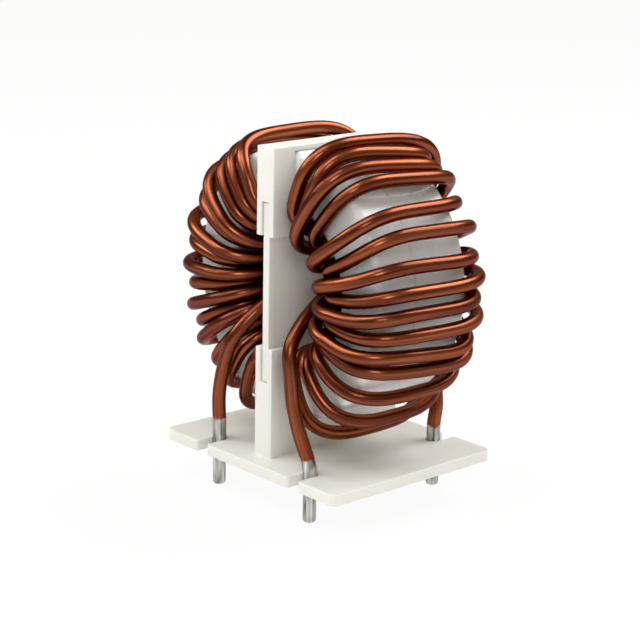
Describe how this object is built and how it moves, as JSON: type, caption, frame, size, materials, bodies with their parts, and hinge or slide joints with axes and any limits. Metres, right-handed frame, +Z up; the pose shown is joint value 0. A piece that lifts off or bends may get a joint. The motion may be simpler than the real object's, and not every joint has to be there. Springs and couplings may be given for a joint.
{
  "type": "toroidal inductor",
  "caption": "Ring-core choke with a separate copper winding on each half of a white plastic ring case, standing upright on a slotted plastic base with solder tails below.",
  "frame": {"origin": "middle of the four solder tails on the underside of the base", "axes": "+Z up away from the circuit board, +Y along the ring's axis towards the back, +X across the windings"},
  "size_m": [0.0394, 0.026, 0.0451],
  "materials": {
    "ferrite": "matt dark grey sintered ferrite",
    "case_plastic": "slightly cool white, glossy",
    "enamelled_copper": "clear glossy copper-brown enamel, bright tin at the solder tails",
    "moulded_plastic": "warm ivory white, satin gloss"
  },
  "bodies": {
    "root": {"ring_core": "ferrite", "case_tub": "case_plastic", "case_cover": "case_plastic", "right_winding": "enamelled_copper", "left_winding": "enamelled_copper", "base": "moulded_plastic", "centre_partition": "moulded_plastic", "top_cap": "moulded_plastic"}
  },
  "joints": []
}
